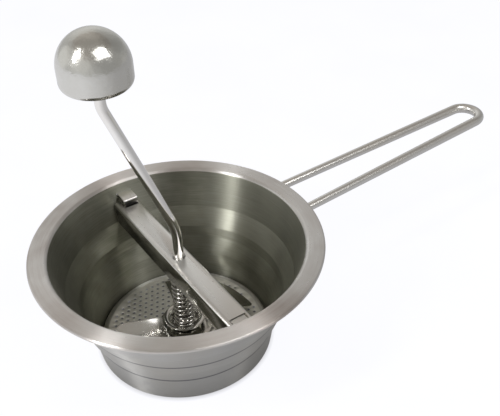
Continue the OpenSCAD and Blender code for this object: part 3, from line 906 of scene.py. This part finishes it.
def build_wing(direction, name):
    """A length of the rolled sheet, cut to its plan and open round the hub."""
    below, above = FOOT_LOW - 2, FOOT_LOW + WING_ROOM
    wing = prism(wing_profile(), -BLADE_RADIUS, BLADE_RADIUS, "X")
    boolean(wing, prism(wing_plan(), below, above), "INTERSECT")
    boolean(wing, prism(circle(BLADE_RADIUS, 160), below, above), "INTERSECT")
    boolean(wing, prism(circle(WING_ROOT), BLADE_SEAT + BLADE_SHEET / 2, above), "DIFFERENCE")
    wing.data.transform(Matrix.Rotation(direction, 4, "Z"))
    bevel(wing, 0.28, 50)
    shade(wing, 35)
    finished(wing, name, BLADE_STEEL)
    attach(wing, "crank")


def build_blade():
    """The hub plate and the two wings that rise from it."""
    plate = softened([(BLADE_BORE, BLADE_SEAT), (BLADE_PLATE_RADIUS, BLADE_SEAT),
                      (BLADE_PLATE_RADIUS, BLADE_SEAT + BLADE_SHEET),
                      (BLADE_BORE, BLADE_SEAT + BLADE_SHEET)], 0.35)
    hub = revolve("blade_hub", plate, "crank", BLADE_STEEL, segments=144)
    build_wing(BLADE_DIRECTION, "blade_wing_first")
    build_wing(BLADE_DIRECTION + math.pi, "blade_wing_second")
    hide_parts("blade")


def crank_point(out, z):
    """A point of the crank's own plane, out from the shaft."""
    return (out * math.cos(CRANK_DIRECTION), out * math.sin(CRANK_DIRECTION), z)


def build_crank():
    """The rod: thread, upright, lean, upright again, and the spindle of the knob."""
    lean = math.atan2(THROW, LEAN_HIGH - LEAN_LOW)
    path, radii = [], []

    def add(out, z, radius=ROD_RADIUS):
        path.append(crank_point(out, z))
        radii.append(radius)

    for z in (FOOT_LOW + 0.05, 6.2, BLADE_SEAT - 0.1):
        add(0, z, THREAD_RADIUS)
    # a few stations along the upright part
    for z in (BLADE_SEAT + BLADE_SHEET, 9, 20, 50, 72, 80, 88):
        add(0, z)
    steps = 24
    for corner, radius, sign in (((0, LEAN_LOW), BEND_LOW, 1),
                                 ((THROW, LEAN_HIGH), BEND_HIGH, -1)):
        cut = radius * math.tan(lean / 2)
        for k in range(steps + 1):
            a = lean * k / steps
            if sign > 0:
                add(corner[0] + radius * (1 - math.cos(a)),
                    corner[1] - cut + radius * math.sin(a))
            else:
                a = lean - a
                add(corner[0] - radius * (1 - math.cos(a)),
                    corner[1] + cut - radius * math.sin(a))
        if sign > 0:
            for t in (0.2, 0.35, 0.5, 0.65, 0.8):
                add(THROW * t, LEAN_LOW + (LEAN_HIGH - LEAN_LOW) * t)
    add(THROW, SPINDLE_LOW - 4)
    add(THROW, SPINDLE_LOW - 0.3)
    add(THROW, SPINDLE_LOW, ROD_RADIUS - 0.25)
    add(THROW, SPINDLE_LOW + 0.01, SPINDLE_RADIUS)
    for z, radius in ((GROOVE_LOW - 0.1, SPINDLE_RADIUS), (GROOVE_LOW, SPINDLE_RADIUS),
                      (GROOVE_LOW + 0.01, THREAD_RADIUS), (GROOVE_HIGH - 0.01, THREAD_RADIUS),
                      (GROOVE_HIGH, SPINDLE_RADIUS), (GROOVE_HIGH + 1, SPINDLE_RADIUS),
                      (ROD_END, SPINDLE_RADIUS)):
        add(THROW, z, radius)
    rod = sweep("crank_wire", path, radii, 48, "crank", POLISHED)
    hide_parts("crank_rod")


def build_knob():
    """The hollow ball top, the plate and the sleeve in it, the washer and the ring."""
    centre = crank_point(THROW, 0)[:2]
    wall_low = KNOB_LOW + KNOB_SKIRT
    skirt = sheet_outline([(KNOB_EDGE_RADIUS, KNOB_LOW), (KNOB_RADIUS, KNOB_LOW),
                           (KNOB_RADIUS, wall_low)], [KNOB_EDGE_BEND], KNOB_SHEET, 12)
    half = len(skirt) // 2
    steps = 40
    outer = [(KNOB_RADIUS * math.cos(math.pi / 2 * k / steps),
              wall_low + KNOB_RADIUS * math.sin(math.pi / 2 * k / steps))
             for k in range(1, steps + 1)]
    shell = KNOB_RADIUS - KNOB_SHEET
    inner = [(shell * math.cos(math.pi / 2 * k / steps),
              wall_low + shell * math.sin(math.pi / 2 * k / steps))
             for k in range(steps, 0, -1)]
    outer[-1] = (0, outer[-1][1])
    inner[0] = (0, inner[0][1])
    outline = skirt[:half] + outer + inner + skirt[half:]
    knob = revolve("knob_cap", outline, "knob", KNOB_STEEL, centre, 192)
    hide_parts("knob_shell")
    base = softened([(KNOB_BUSH_OUTER, KNOB_BASE_LOW), (KNOB_BASE_RADIUS, KNOB_BASE_LOW),
                     (KNOB_BASE_RADIUS, KNOB_BASE_HIGH), (KNOB_BUSH_OUTER, KNOB_BASE_HIGH)],
                    0.25)
    base = revolve("knob_floor", base, "knob", BRIDGE_STEEL, centre, 128)
    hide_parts("knob_base")
    flange_top = KNOB_BASE_HIGH + 1
    bush = softened([(KNOB_BUSH_INNER, KNOB_BUSH_LOW), (KNOB_BUSH_OUTER, KNOB_BUSH_LOW),
                     (KNOB_BUSH_OUTER, KNOB_BASE_HIGH), (KNOB_BUSH_FLANGE, KNOB_BASE_HIGH),
                     (KNOB_BUSH_FLANGE, flange_top), (KNOB_BUSH_OUTER, flange_top),
                     (KNOB_BUSH_OUTER, KNOB_BUSH_HIGH), (KNOB_BUSH_INNER, KNOB_BUSH_HIGH)],
                    0.2)
    bush = revolve("knob_sleeve", bush, "knob", NYLON, centre, 64)
    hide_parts("knob_bush")
    washer = ring("knob_thrust_ring", SPINDLE_RADIUS + HAIR, KNOB_WASHER_RADIUS, SPINDLE_LOW,
                  KNOB_WASHER_SHEET, "crank", FITTING_STEEL, centre)
    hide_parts("knob_washer")
    clip = ring("knob_keeper", THREAD_RADIUS + HAIR, KNOB_CLIP_RADIUS, GROOVE_LOW + 0.05,
                KNOB_CLIP_SHEET, "crank", FITTING_STEEL, centre)
    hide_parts("knob_clip")


# ------------------------------------------------------------------ studio

CAMERA_AT = (-0.1924, -0.3852, 0.4437)
CAMERA_HEADING = math.radians(-33.84)
CAMERA_DIP = math.radians(36.84)
CAMERA_ROLL = math.radians(-1.37)
LENS = 53.28

PAPER_COLOUR = (0.955, 0.96, 1.0)
# Colour of the room from the horizon and below (0) to straight overhead (1)
SKY = [(0.0, (0.60, 0.60, 0.59)), (0.30, (0.60, 0.60, 0.59)), (0.66, (0.54, 0.53, 0.51)),
       (0.74, (0.40, 0.37, 0.34)), (1.0, (0.40, 0.38, 0.35))]
# Brighter and darker parts of the room: azimuth, elevation, full within, none
# beyond (all in degrees), gain
PATCHES = [(62, 38, 14, 44, 1.45), (138, 11, 14, 28, 1.5), (300, 25, 15, 60, 0.7),
           (20, 30, 10, 45, 0.62), (200, 25, 12, 45, 1.3)]
LIGHT_DISTANCE = 1.3
FLOOR_RADIUS, FLOOR_HEIGHT = 4, -0.0004


def build_camera():
    """The picture's viewpoint: in front, to the left and above."""
    data = bpy.data.cameras.new("camera")
    data.lens = LENS
    data.sensor_width = 36
    data.dof.use_dof = False
    camera = bpy.data.objects.new("camera", data)
    bpy.context.scene.collection.objects.link(camera)
    camera.matrix_world = (Matrix.Translation(CAMERA_AT)
                           @ Matrix.Rotation(CAMERA_HEADING, 4, "Z")
                           @ Matrix.Rotation(math.pi / 2 - CAMERA_DIP, 4, "X")
                           @ Matrix.Rotation(CAMERA_ROLL, 4, "Z"))
    bpy.context.scene.camera = camera


def toward(azimuth, elevation):
    """Unit vector towards a direction given in degrees."""
    a, e = math.radians(azimuth), math.radians(elevation)
    return Vector((math.cos(a) * math.cos(e), math.sin(a) * math.cos(e), math.sin(e)))


def softbox(name, azimuth, elevation, size, radiance):
    """A rectangular light of even radiance that faces the ricer, from an azimuth and
    an elevation in degrees; its size is in metres."""
    data = bpy.data.lights.new(name, "AREA")
    data.shape = "RECTANGLE"
    data.size, data.size_y = size
    data.energy = radiance * math.pi * size[0] * size[1]
    light = bpy.data.objects.new(name, data)
    bpy.context.scene.collection.objects.link(light)
    away = toward(azimuth, elevation)
    light.location = Vector((0, 0, 0.1)) + away * LIGHT_DISTANCE
    light.rotation_euler = (-away).to_track_quat("-Z", "Y").to_euler()


def build_world():
    """A room that is bright low down, at the back and on the left, and dim overhead
    and on the right; looked at directly it is as pale as the paper."""
    world = bpy.data.worlds.new("studio")
    world.use_nodes = True
    tree = world.node_tree
    background = tree.nodes["Background"]

    def add(kind, **settings):
        node = tree.nodes.new("ShaderNode" + kind)
        for key, value in settings.items():
            setattr(node, key, value)
        return node

    direction = add("TexCoord").outputs["Generated"]
    split = add("SeparateXYZ")
    tree.links.new(direction, split.inputs[0])
    ramp = add("ValToRGB")
    tree.links.new(split.outputs["Z"], ramp.inputs[0])
    while len(ramp.color_ramp.elements) < len(SKY):
        ramp.color_ramp.elements.new(0.5)
    for element, (place, colour) in zip(ramp.color_ramp.elements, SKY):
        element.position = place
        element.color = colour + (1,)
    glow = ramp.outputs[0]
    for azimuth, elevation, narrow, wide, gain in PATCHES:
        dot = add("VectorMath", operation="DOT_PRODUCT")
        tree.links.new(direction, dot.inputs[0])
        dot.inputs[1].default_value = toward(azimuth, elevation)
        amount = add("MapRange", interpolation_type="SMOOTHSTEP")
        tree.links.new(dot.outputs["Value"], amount.inputs["Value"])
        amount.inputs["From Min"].default_value = math.cos(math.radians(wide))
        amount.inputs["From Max"].default_value = math.cos(math.radians(narrow))
        amount.inputs["To Min"].default_value = 1.0
        amount.inputs["To Max"].default_value = gain
        scaled = add("VectorMath", operation="SCALE")
        tree.links.new(glow, scaled.inputs[0])
        tree.links.new(amount.outputs[0], scaled.inputs["Scale"])
        glow = scaled.outputs[0]
    seen = add("LightPath").outputs["Is Camera Ray"]
    final = add("Mix", data_type="RGBA")
    tree.links.new(seen, final.inputs[0])
    tree.links.new(glow, final.inputs[6])
    final.inputs[7].default_value = PAPER_COLOUR + (1,)
    tree.links.new(final.outputs[2], background.inputs[0])
    bpy.context.scene.world = world


def build_studio():
    """Pale paper, the room and three soft lights."""
    bpy.ops.mesh.primitive_circle_add(vertices=128, radius=FLOOR_RADIUS, fill_type="NGON",
                                      location=(0, 0, FLOOR_HEIGHT))
    floor = bpy.context.object
    floor.name = "floor"
    floor.data.materials.append(paper("floor_paper", PAPER_COLOUR, seen=0.96, felt=0.64))
    build_world()
    softbox("key_light", -80, 57, (0.66, 0.6), 2.6)
    softbox("left_light", 180, 44, (0.14, 0.6), 24.0)
    softbox("front_light", -54, 50, (0.16, 0.5), 8.0)
    scene = bpy.context.scene
    scene.view_settings.view_transform = "Standard"
    scene.view_settings.look = "None"
    scene.view_settings.exposure = 0.0


build_bowl()
build_disc()
build_handle()
build_bridge()
build_bridge_fittings()
build_spring()
build_shaft_stack()
build_blade()
build_crank()
build_knob()
build_camera()
build_studio()
